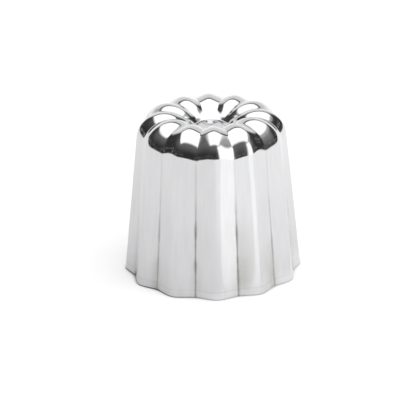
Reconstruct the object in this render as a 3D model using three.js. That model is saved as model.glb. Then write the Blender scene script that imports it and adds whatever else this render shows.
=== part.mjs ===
// Canelé mould: one deep-drawn metal sheet, fluted from its mouth to its sunken closed end.
// Millimetres, +Z up. It stands on its mouth, with the origin at the mouth's centre.
import * as THREE from 'three';

// The whole mould
const mouthDiameter = 55; // across two opposite ridges
const height = 51.6; // mouth to the top of the lobes
const sheetThickness = 1;
const fluteCount = 12;

// Ridges: the outer lines of the lobes
const ridgeRingDiameter = 29.2; // across the tops of two opposite lobes
const ridgeShoulderRadius = 8.6; // from the wall to the top of a lobe
const ridgeFilletRadius = 0.6; // at the recess floor

// Creases: the lines between the lobes
const mouthFluteDepth = 1.8; // behind the ridges, at the mouth
const crownFluteDepth = 1.15; // below the tops of the lobes
const creaseRingDiameter = 28.2; // across the highest points of two opposite creases
const creaseShoulderRadius = 8.3;
const creaseFilletRadius = 2.8;

// Recess in the closed end
const recessDepth = 4.7; // below the tops of the lobes
const recessFloorDiameter = 10;
const recessBend = 0.89; // the roll and fillet in its side, as a share of the largest that fit
const fluteStart = 0.5; // from the edge of the floor to where the flutes begin
const fluteFull = 4.8; // and to where they have their whole depth

// Cross-section of a flute: how softly its two flanks turn into a ridge and into a crease
const ridgeSoftness = 0.3;
const creaseSoftness = 0.05;

// Facets: steps along each stretch of a meridian, and across a flank from ridge to crease
const stretchSteps = { floor: 1, fillet: 2, side: 2, roll: 6, shoulder: 7, wall: 3 };
const flankSteps = [0, 0.2, 0.5, 0.85, 1];

const upright = Math.PI / 2;
const mouthRadius = mouthDiameter / 2;
const floorRadius = recessFloorDiameter / 2;
const floorHeight = height - recessDepth;
const flankSag = (Math.PI / fluteCount) ** 2 / 2; // what makes a flank flat where it would be round

const ridgeLine = {
  footRadius: mouthRadius,
  crestRadius: ridgeRingDiameter / 2,
  crestHeight: height,
  shoulderRadius: ridgeShoulderRadius,
  filletRadius: ridgeFilletRadius,
};

const creaseLine = {
  footRadius: mouthRadius - mouthFluteDepth,
  crestRadius: creaseRingDiameter / 2,
  crestHeight: height - crownFluteDepth,
  shoulderRadius: creaseShoulderRadius,
  filletRadius: creaseFilletRadius,
};

// The direction from a circle's centre to where a straight line from an outside point touches it
function touchAngle(centre, radius, point, side) {
  const away = point.clone().sub(centre);
  return Math.atan2(away.y, away.x) + side * Math.acos(radius / away.length());
}

function onCircle(centre, radius, angle) {
  return new THREE.Vector2(Math.cos(angle), Math.sin(angle)).multiplyScalar(radius).add(centre);
}

function arc(centre, radius, from, to) {
  return new THREE.EllipseCurve(centre.x, centre.y, radius, radius, from, to, to < from);
}

// The radius from a crest into the recess, which leaves a straight side between it and the fillet
function rollRadius(line) {
  const across = line.crestRadius - floorRadius;
  const down = line.crestHeight - floorHeight;
  return (recessBend * (across ** 2 + down ** 2)) / (2 * down) - line.filletRadius;
}

// One meridian from the axis to the mouth, at a depth under the outer face. A flat floor, a fillet, a
// straight recess side, the roll to the crest, the shoulder and a straight wall follow each other.
function meridian(line, depth) {
  const { crestRadius, crestHeight, shoulderRadius, filletRadius } = line;
  const roll = rollRadius(line);
  const filletCentre = new THREE.Vector2(floorRadius, floorHeight + filletRadius);
  const rollCentre = new THREE.Vector2(crestRadius, crestHeight - roll);
  const shoulderCentre = new THREE.Vector2(crestRadius, crestHeight - shoulderRadius);
  const foot = new THREE.Vector2(line.footRadius, 0);
  const sideAngle = touchAngle(rollCentre, roll + filletRadius, filletCentre, -1);
  const wallAngle = touchAngle(shoulderCentre, shoulderRadius, foot, 1);

  const middle = new THREE.Vector2(0, floorHeight - depth);
  const floorEdge = new THREE.Vector2(floorRadius, floorHeight - depth);
  const sideFoot = onCircle(filletCentre, filletRadius + depth, sideAngle + Math.PI);
  const sideTop = onCircle(rollCentre, roll - depth, sideAngle);
  const wallTop = onCircle(shoulderCentre, shoulderRadius - depth, wallAngle);
  foot.x -= depth / Math.cos(wallAngle);

  const stretches = [
    [new THREE.LineCurve(middle, floorEdge), stretchSteps.floor],
    [arc(filletCentre, filletRadius + depth, upright + Math.PI, sideAngle + Math.PI), stretchSteps.fillet],
    [new THREE.LineCurve(sideFoot, sideTop), stretchSteps.side],
    [arc(rollCentre, roll - depth, sideAngle, upright), stretchSteps.roll],
    [arc(shoulderCentre, shoulderRadius - depth, upright, wallAngle), stretchSteps.shoulder],
    [new THREE.LineCurve(wallTop, foot), stretchSteps.wall],
  ];
  const points = stretches.flatMap(([curve, steps]) => curve.getSpacedPoints(steps).slice(0, steps));
  return [...points, foot];
}

// The closed outline of the sheet on one meridian: the inner face down to the mouth, then the outer
// face back up to the axis
function sheetOutline(line) {
  return [...meridian(line, sheetThickness), ...meridian(line, 0).reverse()];
}

// How far the section lies from ridge, 0, to crease, 1, at a share of the way across a flank
function flankPress(share) {
  const soft = (s, softness) => Math.hypot(1, softness) * Math.hypot(s, softness);
  const bend = (s) => soft(s, ridgeSoftness) - soft(1 - s, creaseSoftness) - s;
  return (bend(share) - bend(0)) / (bend(1) - bend(0));
}

// The columns round the mould: the angle of each and its share of the way to a crease
function fluteColumns() {
  const pitch = (2 * Math.PI) / fluteCount;
  const away = flankSteps.slice(0, -1).map((share) => ({ turn: share / 2, share }));
  const back = flankSteps.slice(1).reverse().map((share) => ({ turn: 1 - share / 2, share }));
  const columns = [];
  for (let flute = 0; flute < fluteCount; flute += 1) {
    for (const { turn, share } of [...away, ...back]) {
      columns.push({ angle: (flute + turn) * pitch, press: flankPress(share) });
    }
  }
  columns.push({ angle: 2 * Math.PI, press: 0 });
  return columns;
}

// A point of a section: between the ridge and the crease, on a flat flank. The flutes run out before
// they reach the recess floor.
function sectionPoint(ridgePoint, creasePoint, press) {
  const fluting = THREE.MathUtils.smoothstep(ridgePoint.x, floorRadius + fluteStart, floorRadius + fluteFull);
  const pressed = press * fluting;
  const point = ridgePoint.clone().lerp(creasePoint, pressed);
  point.x *= 1 - flankSag * pressed * (1 - pressed);
  return point;
}

// The ridge outline is turned on a lathe, and each column is then pressed in towards the crease outline
function mouldGeometry() {
  const ridge = sheetOutline(ridgeLine);
  const crease = sheetOutline(creaseLine);
  const columns = fluteColumns();
  const geometry = new THREE.LatheGeometry(ridge, columns.length - 1);
  const position = geometry.getAttribute('position');
  columns.forEach(({ angle, press }, column) => {
    ridge.forEach((ridgePoint, row) => {
      const point = sectionPoint(ridgePoint, crease[row], press);
      const across = point.x * Math.sin(angle);
      const deep = -point.x * Math.cos(angle);
      position.setXYZ(column * ridge.length + row, across, deep, point.y);
    });
  });
  geometry.computeVertexNormals();
  return geometry;
}

const polishedAluminium = new THREE.MeshStandardMaterial({ color: 0xdcdddd, metalness: 1, roughness: 0.12 });

const mouldShell = new THREE.Mesh(mouldGeometry(), polishedAluminium);
mouldShell.name = 'mould_shell';

const caneleMould = new THREE.Group();
caneleMould.add(mouldShell);

export default caneleMould;
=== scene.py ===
"""Canele mould of polished aluminium: the dressed model, a plain studio and the photograph's camera."""
import math
from collections import namedtuple
from types import SimpleNamespace

import bmesh
import bpy
from mathutils import Matrix, Vector


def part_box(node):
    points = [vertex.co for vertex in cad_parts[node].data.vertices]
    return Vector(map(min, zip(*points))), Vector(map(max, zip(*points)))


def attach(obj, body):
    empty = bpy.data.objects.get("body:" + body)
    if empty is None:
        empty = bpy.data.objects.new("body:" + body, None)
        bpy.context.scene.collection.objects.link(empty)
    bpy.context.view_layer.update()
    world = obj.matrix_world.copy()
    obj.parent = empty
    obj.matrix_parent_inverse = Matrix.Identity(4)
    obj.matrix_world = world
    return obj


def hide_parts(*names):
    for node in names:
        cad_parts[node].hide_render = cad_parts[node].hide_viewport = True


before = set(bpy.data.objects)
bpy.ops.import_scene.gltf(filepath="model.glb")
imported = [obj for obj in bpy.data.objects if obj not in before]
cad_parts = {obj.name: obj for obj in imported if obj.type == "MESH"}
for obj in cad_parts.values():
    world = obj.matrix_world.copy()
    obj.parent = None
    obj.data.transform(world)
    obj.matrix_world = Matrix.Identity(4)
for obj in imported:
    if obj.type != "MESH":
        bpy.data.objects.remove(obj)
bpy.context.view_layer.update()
_, node_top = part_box("mould_shell")

MM = 0.001
UPRIGHT = math.pi / 2
WHITE = (1, 1, 1, 1)
MIX_SOCKETS = {"FLOAT": (2, 3, 0), "RGBA": (6, 7, 2)}  # a mix node's two inputs and its output

# A smooth step: where it starts and ends, and what it goes from and to
Ramp = namedtuple("Ramp", ["start", "end", "low", "high"], defaults=[0, 1])

# The mould, whose mouth and height come from the frame
MOUTH_RADIUS = node_top.x
HEIGHT = node_top.z
SHEET = 1.0 * MM
FLUTES = 12
MOUTH_FLUTE_DEPTH = 1.8 * MM  # behind the ridges, at the mouth
CROWN_FLUTE_DEPTH = 1.15 * MM  # below the tops of the lobes

# The recess in the closed end
RECESS_DEPTH = 4.7 * MM
RECESS_FLOOR = HEIGHT - RECESS_DEPTH
RECESS_RADIUS = 5.0 * MM  # of its flat floor
RECESS_BEND = 0.89  # the roll and fillet in its side, as a share of the largest that fit

# Ridges are the outer lines of the lobes, creases the lines between them
RIDGE = {
    "foot": MOUTH_RADIUS,
    "crest_radius": 14.6 * MM,
    "crest_height": HEIGHT,
    "shoulder": 8.6 * MM,
    "fillet": 0.6 * MM,
}
CREASE = {
    "foot": MOUTH_RADIUS - MOUTH_FLUTE_DEPTH,
    "crest_radius": 14.1 * MM,
    "crest_height": HEIGHT - CROWN_FLUTE_DEPTH,
    "shoulder": 8.3 * MM,
    "fillet": 2.8 * MM,
}

# How softly the flanks of a flute turn into its ridge, from the wall up to the crown, and into its crease
RIDGE_SOFTNESS = Ramp(HEIGHT - 14 * MM, HEIGHT - 4 * MM, 0.3, 0.45)
CREASE_SOFTNESS = 0.05
FLANK_SAG = (math.pi / FLUTES) ** 2 / 2  # what makes a flank flat where it would be round

# How the flutes run out in the recess, over a ridge's radius
FLUTE_END = Ramp(RECESS_RADIUS + 0.8 * MM, RECESS_RADIUS + 3.0 * MM)
FLUTE_AT_AXIS = 0.45  # the share of their depth that narrowing alone would leave at the axis

# The rim, with a rounded edge and a band that stands proud of the wall
RIM_ROUND = 0.4 * MM
RIM_BAND = 2.2 * MM
RIM_BAND_STEP = 0.015 * MM
RIM_BAND_EDGE = Ramp(RIM_BAND - 0.2 * MM, RIM_BAND + 0.6 * MM, 0, RIM_BAND_STEP)
RIM_BAND_FADE = Ramp(RIM_BAND, 6 * RIM_BAND, 1, 0)  # higher up, the step is gone again

# Mesh density: steps along each stretch of a meridian, and across a flank from ridge to crease
STEPS = {
    "floor": 4,
    "fillet": 8,
    "side": 18,
    "roll": 20,
    "shoulder": 32,
    "wall": 16,
    "band": 16,
    "rim": 5,
}
FLANK_STEPS = 16
BAND_ROWS = 1.5 * RIM_BAND  # the height of the band's finer rows

# The metal's noises: upright polishing streaks, soft clouds and a slight ripple
STREAKS = {"scale": 1100, "detail": 3}
STREAK_STRETCH = (1, 1, 0.05)  # a small scale along the height draws the streaks out
CLOUDS = {"scale": 160, "detail": 4}
RIPPLE = {"scale": 130, "detail": 1}
RIPPLE_DEPTH = 0.012 * MM

# The clean metal
BRIGHTNESS = Ramp(0.3, 0.7, 0.758, 0.792)  # over the streaks
ROUGHNESS = Ramp(0.7, 1.3, 0.06, 0.13)  # over streaks and clouds together
BLUENESS = Ramp(0, 1, 1.015, 0.97)  # over the stains, which are warmer than clean metal

# Dark colour along the creases, most low on the wall
CREASE_DARK_COLOUR = (0.16, 0.145, 0.125, 1)
CREASE_DARK_ROUGHNESS = 0.5
CREASE_DARK_UPWARD = Ramp(34 * MM, 17 * MM, 0.16, 0.78)  # over the height: less of it higher up
CREASE_DARK_TOP = Ramp(46 * MM, 40 * MM)  # over the height: none on the crown
CREASE_DARK_FOOT = Ramp(1 * MM, 14 * MM, 0.78, 1)  # over the height: a little less at the rim
CREASE_DARK_ASIDE = Ramp(8 * MM, 27 * MM, 1, 0.2)  # over the distance aside: less at the sides
CREASE_DARK_START = Ramp(0.3, 0.7, 0.94, 0.88)  # over the clouds: where on a flank it starts
CREASE_DARK_PATCHES = Ramp(0.25, 0.6, 0.75, 1)  # over the clouds

# Painted shade on the flanks beside the creases, darker towards the foot, for the shadowed floor they
# reflect
SHADE_FLANK = Ramp(0.6, 1)  # over the share of the way to a crease
SHADE_HEIGHT = Ramp(20 * MM, 3 * MM)
SHADE_LOSS = -0.16

# A painted shade line along the top of the rim band, for its edge as it shows in reflections
BAND_SHADE_LOWER = Ramp(RIM_BAND - 0.1 * MM, RIM_BAND + 0.2 * MM)
BAND_SHADE_UPPER = Ramp(RIM_BAND + 0.7 * MM, RIM_BAND + 0.3 * MM)
BAND_SHADE_PATCHES = Ramp(0.35, 0.6, 0.4, 1)  # over the clouds
BAND_SHADE_LOSS = -0.06

# Stains low on the wall: the turn to the crease where each starts, the turn it spreads over, and its top
STAINS = (
    {"crease": math.radians(15), "spread": math.radians(14), "top": 26 * MM},
    {"crease": math.radians(45), "spread": math.radians(-22), "top": 18 * MM},
    {"crease": math.radians(-45), "spread": math.radians(-9), "top": 12 * MM},
)
STAIN_EDGE = Ramp(-0.1, 0)  # over the spread
STAIN_FADE = Ramp(1, 0.1)  # over the spread
STAIN_FOOT = 0.3  # the share of its height up to which a stain is full
STAIN_CLOUDS = Ramp(0.3, 0.65, 0.2, 0.8)
STAIN_STREAKS = Ramp(0.35, 0.65, 0, 0.4)
STAIN_LOSS = -0.16

# The camera, found by fitting the mould's outline to the photograph
VIEW_TURN = math.radians(2.36)
VIEW_ELEVATION = math.radians(22.35)
VIEW_ROLL = math.radians(-0.78)
VIEW_DISTANCE = 851 * MM
VIEW_AIM = Vector((-3.815 * MM, 0, 22.08 * MM))
LENS = 245.7

# The lamp over the mould: its edges are distances to the right or to the back, over the lamp's height
LAMP_LEVEL = 1.4
LAMP_FRONT = Ramp(-0.7, -0.42)
LAMP_BACK = Ramp(0.835, 0.805)
LAMP_LEFT = Ramp(-0.72, -0.48)
LAMP_RIGHT = Ramp(0.81, 0.59)
LAMP_SLANT = 0.06  # how far the right edge moves aside with the distance to the back
LOWEST = 0.001  # the least height that distances are divided by

# A dimmer glow at the right of the lamp, with the same back edge
GLOW_LEVEL = 0.42
GLOW_FRONT = Ramp(-1.2, -0.6)
GLOW_LEFT = Ramp(0.3, 0.7)
GLOW_RIGHT = Ramp(1.2, 0.9)

# The backdrop behind the mould, brighter towards its foot
BACKDROP_SPREAD = math.radians(34)
BACKDROP_SIDES = Ramp(BACKDROP_SPREAD + 0.1, BACKDROP_SPREAD - 0.1)  # over the angle from the back
BACKDROP_TOP = Ramp(1.03, 1.09)  # over the distance to the back for each unit of height
BACKDROP_LEVEL = Ramp(0.5, 0, 0.78, 1.1)  # over the part of a direction that points up

# The card in front, at the right
CARD_LEVEL = 1.4
CARD_START = math.radians(33)
CARD_END = math.radians(67)
CARD_SOFTNESS = 0.12
CARD_ELEVATION = math.radians(44.5)
CARD_TOP = Ramp(CARD_ELEVATION + 0.12, CARD_ELEVATION - 0.05)

# The dark room, over the parts of a direction that point up, to the back and to the right
ROOM_LEVEL = 0.03
ROOM_OVERHEAD = Ramp(0.3, 0.87, 0, 0.12)
ROOM_BACK = Ramp(-0.2, 0.5, 1, 0.45)
ROOM_RIGHT = Ramp(0.1, 0.6, 0, 0.14)
ROOM_FRONT = Ramp(0.3, -0.2)
ROOM_ABOVE = Ramp(0, 0.6, 0.2, 1)

# Dim shapes low in the dark room
CLUTTER = {"scale": 8, "detail": 3}
CLUTTER_SHAPES = Ramp(0.54, 0.66, 0, 0.3)
CLUTTER_SIDES = Ramp(0.25, 0.7, 0.3, 1)
CLUTTER_TOP = Ramp(0.5, 0.1)

# The floor of white paper, with a painted contact shadow: a dark line where the mould's foot meets it away
# from the card
PAPER_HALF = 4000 * MM
PAPER_WHITE = 0.8
# The glow lifts the paper to white, and rises towards the card as painted light from it
PAPER_GLOW_WITH_CARD_LIGHT = Ramp(-24 * MM, 5 * MM, 0.33, 0.37)  # over the distance towards the card
SIDE_LIGHT = 0.3  # how much stronger the light is from the card's side
CONTACT_REACH = 2.5 * MM  # how far above the paper something darkens it
CONTACT_SAMPLES = 8
CONTACT_SHADOW_GLOW = Ramp(0.3, 0.8)  # over the open sky
CONTACT_SHADOW_START = 0.3  # of the open sky, where the paper is darkest
CONTACT_SHADOW_END = 0.75
CONTACT_SHADOW_DARKEST = Ramp(4 * MM, 32 * MM)  # over the distance towards the card

# The floor in reflections, with painted light: brighter at the right, near the foot, far away and in a pool
# of light before the card
MIRRORED_RIGHT = Ramp(-40 * MM, 80 * MM, 0.045, 0.175)
MIRRORED_NEAR = Ramp(46 * MM, 28 * MM, 0, 0.14)
MIRRORED_NEAR_SIDE = Ramp(-14 * MM, 6 * MM)
MIRRORED_FAR = Ramp(90 * MM, 150 * MM, 0, 0.055)
POOL_LEVEL = Ramp(33 * MM, 46 * MM, 0, 0.16)
POOL_RIGHT = -0.5 * MM
POOL_BACK = -15.6 * MM
POOL_START = math.radians(36)
POOL_END = math.radians(63.5)
POOL_SOFTNESS = 0.06


def ease(value, ramp):
    """What a ramp gives at a number."""
    share = min(max((value - ramp.start) / (ramp.end - ramp.start), 0), 1)
    return ramp.low + share * share * (3 - 2 * share) * (ramp.high - ramp.low)


def on_circle(centre, radius, angle):
    return centre + radius * Vector((math.cos(angle), math.sin(angle)))


def arc(centre, radius, start, end, steps):
    """Points along an arc, without its last one."""
    return [on_circle(centre, radius, start + (end - start) * i / steps) for i in range(steps)]


def straight(start, end, steps):
    """Points along a line, without its last one."""
    return [start.lerp(end, i / steps) for i in range(steps)]


def touch_angle(centre, radius, point, side):
    """The direction from a circle's centre to where a straight line from an outside point touches it."""
    away = point - centre
    return math.atan2(away.y, away.x) + side * math.acos(radius / away.length)


def roll_radius(line):
    """The arc from a crest into the recess, which leaves a straight side between it and the fillet."""
    across = line["crest_radius"] - RECESS_RADIUS
    down = line["crest_height"] - RECESS_FLOOR
    return RECESS_BEND * (across * across + down * down) / (2 * down) - line["fillet"]


def recess_points(line, depth):
    """Points (radius, height) over the recess floor, its fillet and side, and the roll up to the crest."""
    full_roll = roll_radius(line)
    fillet_centre = Vector((RECESS_RADIUS, RECESS_FLOOR + line["fillet"]))
    roll_centre = Vector((line["crest_radius"], line["crest_height"] - full_roll))
    # The side touches both arcs, which curve opposite ways, so their radii are added
    side_angle = touch_angle(roll_centre, full_roll + line["fillet"], fillet_centre, -1)
    roll = full_roll - depth
    fillet = -line["fillet"] - depth
    middle = Vector((0, RECESS_FLOOR - depth))
    floor_edge = on_circle(fillet_centre, fillet, UPRIGHT)
    side_foot = on_circle(fillet_centre, fillet, side_angle)
    side_top = on_circle(roll_centre, roll, side_angle)
    return [
        *straight(middle, floor_edge, STEPS["floor"]),
        *arc(fillet_centre, fillet, UPRIGHT, side_angle, STEPS["fillet"]),
        *straight(side_foot, side_top, STEPS["side"]),
        *arc(roll_centre, roll, side_angle, UPRIGHT, STEPS["roll"]),
    ]


def rim_edge(wall_end, wall_angle, outer):
    """The centre of the rounded edge between a face and the rim, and the angles where it starts and ends."""
    side = 1 if outer else -1
    shift = RIM_ROUND * (side + math.sin(wall_angle)) / math.cos(wall_angle)
    centre = Vector((wall_end.x - shift, RIM_ROUND))
    if outer:
        return centre, wall_angle, -UPRIGHT
    return centre, math.pi + wall_angle, math.pi + UPRIGHT


def wall_points(line, depth):
    """Points (radius, height) over the shoulder, the wall and the rounded edge of the rim."""
    shoulder_centre = Vector((line["crest_radius"], line["crest_height"] - line["shoulder"]))
    foot = Vector((line["foot"], 0))
    wall_angle = touch_angle(shoulder_centre, line["shoulder"], foot, 1)
    shoulder = line["shoulder"] - depth
    wall_top = on_circle(shoulder_centre, shoulder, wall_angle)
    wall_end = foot - Vector((depth / math.cos(wall_angle), 0))
    band_top = wall_end.lerp(wall_top, BAND_ROWS / wall_top.y)
    rim_centre, rim_start, rim_end = rim_edge(wall_end, wall_angle, depth == 0)
    return [
        *arc(shoulder_centre, shoulder, UPRIGHT, wall_angle, STEPS["shoulder"]),
        *straight(wall_top, band_top, STEPS["wall"]),
        *straight(band_top, on_circle(rim_centre, RIM_ROUND, rim_start), STEPS["band"]),
        *arc(rim_centre, RIM_ROUND, rim_start, rim_end, STEPS["rim"]),
        on_circle(rim_centre, RIM_ROUND, rim_end),
    ]


def face_points(line, depth):
    """One face of the sheet on a meridian, from the axis to the rim, at a depth under the outer face."""
    return [*recess_points(line, depth), *wall_points(line, depth)]


def sheet_outline(line):
    """The closed outline of the sheet on one meridian: the outer face to the rim, the inner face back."""
    return [*face_points(line, 0), *reversed(face_points(line, SHEET))]


def flank_press(share, height):
    """How far the section lies from ridge, 0, to crease, 1, at a share of the way across a flank."""
    softness = ease(height, RIDGE_SOFTNESS)

    def bend(way):
        ridge = math.hypot(1, softness) * math.hypot(way, softness)
        crease = math.hypot(1, CREASE_SOFTNESS) * math.hypot(1 - way, CREASE_SOFTNESS)
        return ridge - crease - way

    return (bend(share) - bend(0)) / (bend(1) - bend(0))


def flute_columns():
    """The angle of each column round the mould and its share of the way to a crease."""
    shares = [(1 - math.cos(math.pi * i / FLANK_STEPS)) / 2 for i in range(FLANK_STEPS + 1)]
    turns = [(share / 2, share) for share in shares[:-1]]
    turns += [(1 - share / 2, share) for share in reversed(shares[1:])]
    pitch = 2 * math.pi / FLUTES
    return [((flute + turn) * pitch, share) for flute in range(FLUTES) for turn, share in turns]


def band_inset(height):
    """How far the wall lies behind the rim band at a height."""
    return ease(height, RIM_BAND_EDGE) * ease(height, RIM_BAND_FADE)


def flute_share(radius):
    """How much of its depth a flute has at a ridge's radius: it runs out before the recess floor."""
    narrowing = min(FLUTE_AT_AXIS + (1 - FLUTE_AT_AXIS) * radius / RIDGE["crest_radius"], 1)
    return narrowing * ease(radius, FLUTE_END)


def section_point(ridge, crease, press):
    """Radius and height at a press between ridge and crease, with the flank between them flat."""
    pressed = press * flute_share(ridge.x)
    radius, height = ridge.lerp(crease, pressed)
    return radius * (1 - FLANK_SAG * pressed * (1 - pressed)), height


def mould_points(columns):
    """The sheet's points, column by column, and the outer ones' shares of the way to a crease."""
    ridge = sheet_outline(RIDGE)
    crease = sheet_outline(CREASE)
    outer_rows = len(ridge) // 2
    points = []
    creases = []
    for angle, share in columns:
        for row in range(1, len(ridge) - 1):
            press = flank_press(share, ridge[row].y)
            radius, height = section_point(ridge[row], crease[row], press)
            outside = row < outer_rows
            if outside:
                radius -= band_inset(height)
            points.append((radius * math.sin(angle), -radius * math.cos(angle), height))
            creases.append(share if outside else 0.0)
    return points, creases


def sheet_middles():
    """The outer and the inner face's middle, on the axis, where all columns meet."""
    outline = sheet_outline(RIDGE)
    return [(0, 0, outline[0].y), (0, 0, outline[-1].y)]


def mould_faces(columns, rows):
    """Faces between neighbouring columns, from the outer face's middle to the inner face's middle."""
    outer_middle = columns * rows
    inner_middle = outer_middle + 1
    faces = []
    for column in range(columns):
        here = column * rows
        there = (column + 1) % columns * rows
        faces.append((outer_middle, here, there))
        for row in range(rows - 1):
            faces.append((here + row, here + row + 1, there + row + 1, there + row))
        faces.append((inner_middle, there + rows - 1, here + rows - 1))
    return faces


def turn_faces_out(mesh):
    worker = bmesh.new()
    worker.from_mesh(mesh)
    bmesh.ops.recalc_face_normals(worker, faces=worker.faces)
    worker.to_mesh(mesh)
    worker.free()


def mould_mesh():
    columns = flute_columns()
    points, creases = mould_points(columns)
    middles = sheet_middles()
    faces = mould_faces(len(columns), len(points) // len(columns))
    mesh = bpy.data.meshes.new("mould_sheet")
    mesh.from_pydata(points + middles, [], faces)
    turn_faces_out(mesh)
    mesh.shade_smooth()
    attribute = mesh.attributes.new("crease", "FLOAT", "POINT")
    attribute.data.foreach_set("value", creases + [0.0] * len(middles))
    return mesh


def new_tree(owner):
    """The empty node tree of a material or world."""
    owner.use_nodes = True
    owner.node_tree.nodes.clear()
    return owner.node_tree


def join(tree, value, socket):
    """Gives an input a value, or links it to an output."""
    if isinstance(value, bpy.types.NodeSocket):
        tree.links.new(value, socket)
    else:
        socket.default_value = value


def node(tree, kind, settings=None, **inputs):
    """A new node, with its settings and with its inputs set to values or joined to sockets."""
    made = tree.nodes.new(kind)
    for name, value in (settings or {}).items():
        setattr(made, name, value)
    for name, value in inputs.items():
        join(tree, value, made.inputs[name.replace("_", " ")])
    return made


def show(tree, shader, output_kind):
    """Makes a shader what a material or world shows."""
    join(tree, shader.outputs[0], node(tree, output_kind).inputs["Surface"])


def calc(tree, operation, *values):
    made = tree.nodes.new("ShaderNodeMath")
    made.operation = operation
    for value, socket in zip(values, made.inputs):
        join(tree, value, socket)
    return made.outputs[0]


def fold(tree, operation, values):
    """Many values made into one, by an operation on two of them at a time."""
    result = values[0]
    for value in values[1:]:
        result = calc(tree, operation, result, value)
    return result


def product(tree, *values):
    return fold(tree, "MULTIPLY", values)


def total(tree, *values):
    return fold(tree, "ADD", values)


def rise(tree, value, ramp):
    """What a ramp gives over a value."""
    step = node(
        tree,
        "ShaderNodeMapRange",
        {"interpolation_type": "SMOOTHSTEP"},
        Value=value,
        From_Min=ramp.start,
        From_Max=ramp.end,
        To_Min=ramp.low,
        To_Max=ramp.high,
    )
    return step.outputs["Result"]


def blend(tree, first, second, share, kind="FLOAT"):
    """The first number or colour, going over to the second as share goes from 0 to 1."""
    first_input, second_input, output = MIX_SOCKETS[kind]
    made = node(tree, "ShaderNodeMix", {"data_type": kind}, Factor=share)
    join(tree, first, made.inputs[first_input])
    join(tree, second, made.inputs[second_input])
    return made.outputs[output]


def noise(tree, place, scale, detail):
    return node(tree, "ShaderNodeTexNoise", Vector=place, Scale=scale, Detail=detail).outputs["Fac"]


def surface_fields(tree):
    """The values that the metal's colour, gloss and ripple are made from at each place on it."""
    place = node(tree, "ShaderNodeTexCoord").outputs["Object"]
    across, deep, height = node(tree, "ShaderNodeSeparateXYZ", Vector=place).outputs
    stretched = node(tree, "ShaderNodeMapping", Vector=place, Scale=STREAK_STRETCH).outputs["Vector"]
    return SimpleNamespace(
        height=height,
        aside=calc(tree, "ABSOLUTE", across),
        turn=calc(tree, "ARCTAN2", across, calc(tree, "MULTIPLY", deep, -1)),
        crease=node(tree, "ShaderNodeAttribute", {"attribute_name": "crease"}).outputs["Fac"],
        streaks=noise(tree, stretched, **STREAKS),
        clouds=noise(tree, place, **CLOUDS),
        ripple=noise(tree, place, **RIPPLE),
    )


def crease_dark_share(tree, at):
    """How dark the creases are made: most low on the wall, at the front and the back."""
    start = rise(tree, at.clouds, CREASE_DARK_START)
    return product(
        tree,
        rise(tree, at.crease, Ramp(start, 1)),
        rise(tree, at.height, CREASE_DARK_UPWARD),
        rise(tree, at.height, CREASE_DARK_TOP),
        rise(tree, at.height, CREASE_DARK_FOOT),
        rise(tree, at.aside, CREASE_DARK_ASIDE),
        rise(tree, at.clouds, CREASE_DARK_PATCHES),
    )


def stain_mark(tree, at, crease, spread, top):
    """1 at the foot of a crease, going to 0 over the stain's spread and up to its top."""
    beside = calc(tree, "DIVIDE", calc(tree, "SUBTRACT", at.turn, crease), spread)
    return product(
        tree,
        rise(tree, beside, STAIN_EDGE),
        rise(tree, beside, STAIN_FADE),
        rise(tree, at.height, Ramp(top, STAIN_FOOT * top)),
    )


def stain_share(tree, at):
    """All stains together, broken up by clouds and streaks."""
    marks = total(tree, *[stain_mark(tree, at, **stain) for stain in STAINS])
    spots = total(tree, rise(tree, at.clouds, STAIN_CLOUDS), rise(tree, at.streaks, STAIN_STREAKS))
    return product(tree, marks, spots)


def flank_shade_share(tree, at):
    """The painted shade low on the flanks beside the creases."""
    return product(tree, rise(tree, at.crease, SHADE_FLANK), rise(tree, at.height, SHADE_HEIGHT), at.clouds)


def band_shade_share(tree, at):
    """The painted shade line along the top of the rim band."""
    return product(
        tree,
        rise(tree, at.height, BAND_SHADE_LOWER),
        rise(tree, at.height, BAND_SHADE_UPPER),
        rise(tree, at.clouds, BAND_SHADE_PATCHES),
    )


def metal_colour(tree, at):
    """The bright metal, less what the painted shade beside the creases, the stains and the painted shade
    line along the rim band take from it.
    """
    stain = stain_share(tree, at)
    loss = total(
        tree,
        # painted shade beside the creases
        product(tree, flank_shade_share(tree, at), SHADE_LOSS),
        product(tree, stain, STAIN_LOSS),
        # painted shade line along the top of the rim band
        product(tree, band_shade_share(tree, at), BAND_SHADE_LOSS),
    )
    bright = total(tree, rise(tree, at.streaks, BRIGHTNESS), loss)
    blue = product(tree, bright, rise(tree, stain, BLUENESS))
    return node(tree, "ShaderNodeCombineColor", Red=bright, Green=bright, Blue=blue).outputs["Color"]


def polished_aluminium():
    """Bright metal with faint upright polishing streaks, with darkened creases and stains low on the wall,
    and with painted shade beside the creases and along the rim band.
    """
    material = bpy.data.materials.new("polished_aluminium")
    tree = new_tree(material)
    at = surface_fields(tree)
    crease_dark = crease_dark_share(tree, at)
    polish = rise(tree, total(tree, at.streaks, at.clouds), ROUGHNESS)
    bump = node(tree, "ShaderNodeBump", Strength=1, Distance=RIPPLE_DEPTH, Height=at.ripple)
    shader = node(
        tree,
        "ShaderNodeBsdfPrincipled",
        Metallic=1,
        Base_Color=blend(tree, metal_colour(tree, at), CREASE_DARK_COLOUR, crease_dark, "RGBA"),
        Roughness=blend(tree, polish, CREASE_DARK_ROUGHNESS, crease_dark),
        Normal=bump.outputs["Normal"],
    )
    show(tree, shader, "ShaderNodeOutputMaterial")
    return material


def make_mould():
    mould = bpy.data.objects.new("mould_body", mould_mesh())
    bpy.context.scene.collection.objects.link(mould)
    mould.data.materials.append(polished_aluminium())
    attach(mould, "root")
    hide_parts("mould_shell")


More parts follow.
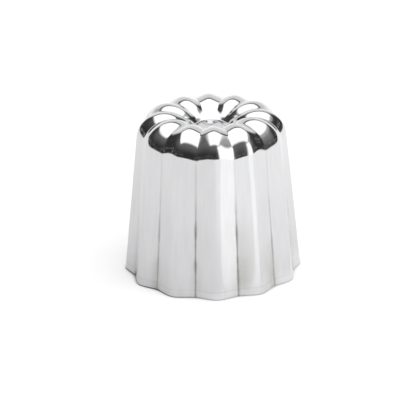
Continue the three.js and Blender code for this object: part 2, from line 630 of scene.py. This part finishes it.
def studio_axes(tree, vector):
    """A vector's parts to the studio's right, to its back and up. The photograph is taken from its front."""
    settings = {"rotation_type": "Z_AXIS"}
    turned = node(tree, "ShaderNodeVectorRotate", settings, Vector=vector, Angle=VIEW_TURN)
    return node(tree, "ShaderNodeSeparateXYZ", Vector=turned.outputs["Vector"]).outputs


def sector(tree, right, back, start, end, softness):
    """1 between two bearings, counted from the studio's front to its right, and 0 elsewhere."""
    bearing = calc(tree, "ARCTAN2", right, calc(tree, "MULTIPLY", back, -1))
    return product(
        tree,
        rise(tree, bearing, Ramp(start - softness, start + softness)),
        rise(tree, bearing, Ramp(end + softness, end - softness)),
    )


def sky_fields(tree):
    """Where a direction points in the studio. Distances are for each unit of height."""
    towards = node(tree, "ShaderNodeTexCoord").outputs["Generated"]
    right, back, up = studio_axes(tree, towards)
    height = calc(tree, "MAXIMUM", up, LOWEST)
    return SimpleNamespace(
        towards=towards,
        right=right,
        back=back,
        up=up,
        elevation=calc(tree, "ARCSINE", up),
        distance_right=calc(tree, "DIVIDE", right, height),
        distance_back=calc(tree, "DIVIDE", back, height),
    )


def lamp_share(tree, sky):
    slant = product(tree, sky.distance_back, LAMP_SLANT)
    return product(
        tree,
        rise(tree, sky.distance_back, LAMP_FRONT),
        rise(tree, sky.distance_back, LAMP_BACK),
        rise(tree, calc(tree, "SUBTRACT", sky.distance_right, slant), LAMP_RIGHT),
        rise(tree, sky.distance_right, LAMP_LEFT),
    )


def glow_share(tree, sky):
    return product(
        tree,
        rise(tree, sky.distance_back, GLOW_FRONT),
        rise(tree, sky.distance_back, LAMP_BACK),
        rise(tree, sky.distance_right, GLOW_RIGHT),
        rise(tree, sky.distance_right, GLOW_LEFT),
    )


def backdrop_share(tree, sky):
    aside = calc(tree, "ABSOLUTE", calc(tree, "ARCTAN2", sky.right, sky.back))
    return product(tree, rise(tree, aside, BACKDROP_SIDES), rise(tree, sky.distance_back, BACKDROP_TOP))


def card_share(tree, sky):
    bearings = sector(tree, sky.right, sky.back, CARD_START, CARD_END, CARD_SOFTNESS)
    return product(tree, bearings, rise(tree, sky.elevation, CARD_TOP))


def clutter(tree, sky):
    """Dim shapes low in the dark room, at both sides."""
    shapes = noise(tree, sky.towards, **CLUTTER)
    return product(
        tree,
        rise(tree, shapes, CLUTTER_SHAPES),
        rise(tree, calc(tree, "ABSOLUTE", sky.right), CLUTTER_SIDES),
        rise(tree, sky.elevation, CLUTTER_TOP),
    )


def room_level(tree, sky):
    """The dark room: lighter overhead and above the card."""
    overhead = product(tree, rise(tree, sky.up, ROOM_OVERHEAD), rise(tree, sky.back, ROOM_BACK))
    above_card = product(
        tree,
        rise(tree, sky.right, ROOM_RIGHT),
        rise(tree, sky.back, ROOM_FRONT),
        rise(tree, sky.up, ROOM_ABOVE),
    )
    return total(tree, overhead, ROOM_LEVEL, above_card, clutter(tree, sky))


def studio_level(tree, sky):
    """How bright the studio is in each direction, for what the metal reflects."""
    backdrop_level = rise(tree, sky.up, BACKDROP_LEVEL)
    level = blend(tree, room_level(tree, sky), backdrop_level, backdrop_share(tree, sky))
    level = blend(tree, level, GLOW_LEVEL, glow_share(tree, sky))
    level = blend(tree, level, CARD_LEVEL, card_share(tree, sky))
    return blend(tree, level, LAMP_LEVEL, lamp_share(tree, sky))


def side_light(tree, sky):
    """The light that falls on the paper: stronger from the card's side, in front and at the right."""
    return calc(tree, "MULTIPLY_ADD", calc(tree, "SUBTRACT", sky.right, sky.back), SIDE_LIGHT, 1)


def make_world():
    """The camera sees plain white, reflections show the studio, and all else takes the side light."""
    world = bpy.data.worlds.new("studio")
    bpy.context.scene.world = world
    tree = new_tree(world)
    sky = sky_fields(tree)
    path = node(tree, "ShaderNodeLightPath").outputs
    plain_level = blend(tree, side_light(tree, sky), 1, path["Is Camera Ray"])
    plain = node(tree, "ShaderNodeBackground", Color=WHITE, Strength=plain_level)
    studio = node(tree, "ShaderNodeBackground", Color=WHITE, Strength=studio_level(tree, sky))
    mixed = node(tree, "ShaderNodeMixShader", Fac=path["Is Glossy Ray"])
    join(tree, plain.outputs[0], mixed.inputs[1])
    join(tree, studio.outputs[0], mixed.inputs[2])
    show(tree, mixed, "ShaderNodeOutputWorld")


def paper_fields(tree):
    """Where a place on the paper lies in the studio, and how open the sky is above it."""
    place = node(tree, "ShaderNodeTexCoord").outputs["Object"]
    right, back, _ = studio_axes(tree, place)
    length = node(tree, "ShaderNodeVectorMath", {"operation": "LENGTH"}, Vector=place)
    settings = {"samples": CONTACT_SAMPLES}
    occlusion = node(tree, "ShaderNodeAmbientOcclusion", settings, Distance=CONTACT_REACH)
    return SimpleNamespace(
        right=right,
        back=back,
        towards_card=calc(tree, "SUBTRACT", right, back),
        distance=length.outputs["Value"],
        open_sky=occlusion.outputs["AO"],
    )


def paper_colour(tree, at):
    """White, with a painted shadow where the mould's foot meets the paper on the side away from the card."""
    darkest = rise(tree, at.towards_card, CONTACT_SHADOW_DARKEST)
    # painted shadow: the paper's colour is darkened at the mould's foot
    contact_shadow = rise(tree, at.open_sky, Ramp(CONTACT_SHADOW_START, CONTACT_SHADOW_END, darkest, 1))
    return product(tree, contact_shadow, PAPER_WHITE)


def mirrored_painted_light(tree, at):
    """The painted light that the paper adds in reflections, away from the mould's foot."""
    pool_right = calc(tree, "SUBTRACT", at.right, POOL_RIGHT)
    pool_back = calc(tree, "SUBTRACT", at.back, POOL_BACK)
    # a painted pool of light before the card
    light_pool = sector(tree, pool_right, pool_back, POOL_START, POOL_END, POOL_SOFTNESS)
    return total(
        tree,
        rise(tree, at.right, MIRRORED_RIGHT),
        product(tree, rise(tree, at.distance, MIRRORED_NEAR), rise(tree, at.right, MIRRORED_NEAR_SIDE)),
        rise(tree, at.distance, MIRRORED_FAR),
        product(tree, light_pool, rise(tree, at.distance, POOL_LEVEL)),
    )


def paper_glow(tree, at):
    """What the paper adds to its own shading, with painted light and shadow: one level for the camera and
    one for reflections.
    """
    # painted shadow: the glow fades at the mould's foot
    contact_shadow = rise(tree, at.open_sky, CONTACT_SHADOW_GLOW)
    # painted light: brighter towards the card
    seen = product(tree, rise(tree, at.towards_card, PAPER_GLOW_WITH_CARD_LIGHT), contact_shadow)
    mirrored = product(tree, mirrored_painted_light(tree, at), contact_shadow)
    path = node(tree, "ShaderNodeLightPath").outputs
    for_camera = product(tree, path["Is Camera Ray"], seen)
    for_reflections = product(tree, path["Is Glossy Ray"], mirrored)
    return total(tree, for_camera, for_reflections)


def white_paper():
    material = bpy.data.materials.new("white_paper")
    tree = new_tree(material)
    at = paper_fields(tree)
    paper = node(tree, "ShaderNodeBsdfDiffuse", Color=paper_colour(tree, at))
    glow = node(tree, "ShaderNodeEmission", Color=WHITE, Strength=paper_glow(tree, at))
    both = node(tree, "ShaderNodeAddShader")
    join(tree, paper.outputs[0], both.inputs[0])
    join(tree, glow.outputs[0], both.inputs[1])
    show(tree, both, "ShaderNodeOutputMaterial")
    return material


def make_floor():
    corners = [(x * PAPER_HALF, y * PAPER_HALF, 0) for x, y in ((-1, -1), (1, -1), (1, 1), (-1, 1))]
    mesh = bpy.data.meshes.new("floor")
    mesh.from_pydata(corners, [], [(0, 1, 2, 3)])
    mesh.materials.append(white_paper())
    floor = bpy.data.objects.new("floor", mesh)
    bpy.context.scene.collection.objects.link(floor)


def make_camera():
    data = bpy.data.cameras.new("camera")
    data.lens = LENS
    camera = bpy.data.objects.new("camera", data)
    bpy.context.scene.collection.objects.link(camera)
    bpy.context.scene.camera = camera
    turn = Matrix.Rotation(-VIEW_TURN, 4, "Z")
    tilt = Matrix.Rotation(UPRIGHT - VIEW_ELEVATION, 4, "X") @ Matrix.Rotation(VIEW_ROLL, 4, "Z")
    back_off = Matrix.Translation(Vector((0, 0, VIEW_DISTANCE)))
    camera.matrix_world = turn @ Matrix.Translation(VIEW_AIM) @ tilt @ back_off


make_camera()
make_mould()
make_floor()
make_world()
bpy.context.scene.view_settings.view_transform = "Standard"
